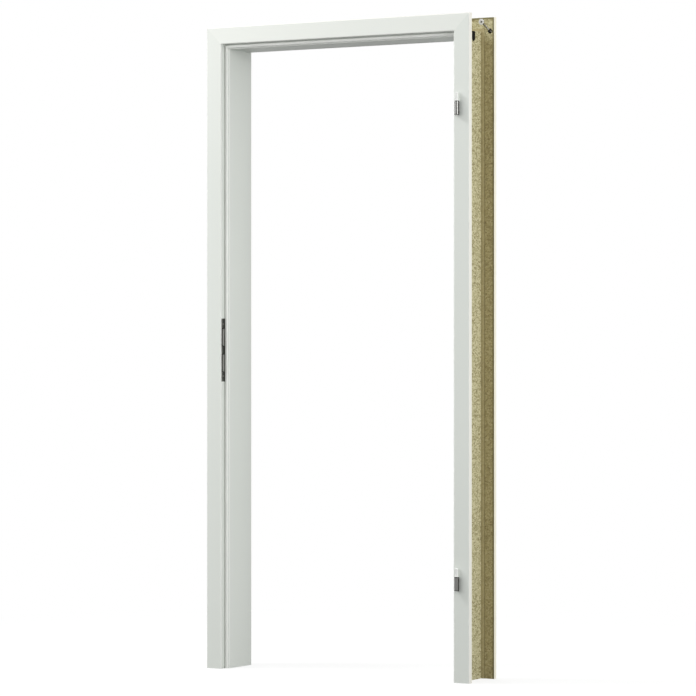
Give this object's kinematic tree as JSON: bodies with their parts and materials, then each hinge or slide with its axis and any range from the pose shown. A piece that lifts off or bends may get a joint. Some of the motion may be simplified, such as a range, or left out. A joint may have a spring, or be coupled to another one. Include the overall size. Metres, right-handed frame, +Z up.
{
  "type": "door frame",
  "caption": "White laminated wrap-round door frame with rebate seal, strike plate, hinge pins and a rear architrave that adjusts to the wall.",
  "frame": {"origin": "middle of the frame's footprint on the floor", "axes": "+X to the right as seen from the side the door opens to, +Y into the wall, +Z up"},
  "size_m": [0.949, 0.193, 2.037],
  "materials": {
    "laminated_board": "satin white laminate over raw chipboard",
    "raw_board": "raw board",
    "seal": "matt light grey",
    "steel": "nickel plated",
    "strike": "dark satin nickel",
    "zinc": "die cast zinc",
    "white_plastic": "satin",
    "black_plastic": "matt"
  },
  "bodies": {
    "frame": {"lining_left": "laminated_board", "lining_right": "laminated_board", "lining_head": "laminated_board", "architrave_front_left": "laminated_board", "architrave_front_right": "laminated_board", "architrave_front_head": "laminated_board", "seal_left": "seal", "seal_right": "seal", "seal_head": "seal", "corner_bracket_left": "black_plastic", "corner_bracket_right": "black_plastic", "mitre_bolt_front_left": "steel", "mitre_nut_front_left": "steel", "mitre_bolt_front_right": "steel", "mitre_nut_front_right": "steel", "strike_plate": "strike", "strike_screws": "steel", "hinge_knuckle_upper": "steel", "hinge_pin_upper": "steel", "hinge_sleeve_upper": "white_plastic", "hinge_receiver_upper": "steel", "hinge_clamp_screws_upper": "steel", "hinge_wood_screws_upper": "steel", "hinge_knuckle_lower": "steel", "hinge_pin_lower": "steel", "hinge_sleeve_lower": "white_plastic", "hinge_receiver_lower": "steel", "hinge_clamp_screws_lower": "steel", "hinge_wood_screws_lower": "steel"},
    "rear_frame": {"architrave_rear_left": "laminated_board", "architrave_rear_right": "laminated_board", "architrave_rear_head": "laminated_board", "tongue_left": "raw_board", "tongue_right": "raw_board", "tongue_head": "raw_board", "mitre_bolt_rear_left": "steel", "mitre_nut_rear_left": "steel", "mitre_bolt_rear_right": "steel", "mitre_nut_rear_right": "steel"},
    "cam_front_left": {"mitre_cam_front_left": "zinc"},
    "cam_front_right": {"mitre_cam_front_right": "zinc"},
    "cam_rear_left": {"mitre_cam_rear_left": "zinc"},
    "cam_rear_right": {"mitre_cam_rear_right": "zinc"}
  },
  "joints": [
    {"name": "rear_slide", "type": "slide", "parent": "frame", "child": "rear_frame", "axis": [0, 1, 0], "range_m": [-0.001, 0.015]},
    {"name": "cam_turn_front_left", "type": "hinge", "parent": "frame", "child": "cam_front_left", "pos_m": [-0.4295, -0.0645, 2.0245], "axis": [0, 1, 0], "range_deg": [0, 180]},
    {"name": "cam_turn_front_right", "type": "hinge", "parent": "frame", "child": "cam_front_right", "pos_m": [0.4295, -0.0645, 2.0245], "axis": [0, 1, 0], "range_deg": [0, 180]},
    {"name": "cam_turn_rear_left", "type": "hinge", "parent": "rear_frame", "child": "cam_rear_left", "pos_m": [-0.4295, 0.0805, 2.0245], "axis": [0, -1, 0], "range_deg": [0, 180]},
    {"name": "cam_turn_rear_right", "type": "hinge", "parent": "rear_frame", "child": "cam_rear_right", "pos_m": [0.4295, 0.0805, 2.0245], "axis": [0, -1, 0], "range_deg": [0, 180]}
  ]
}
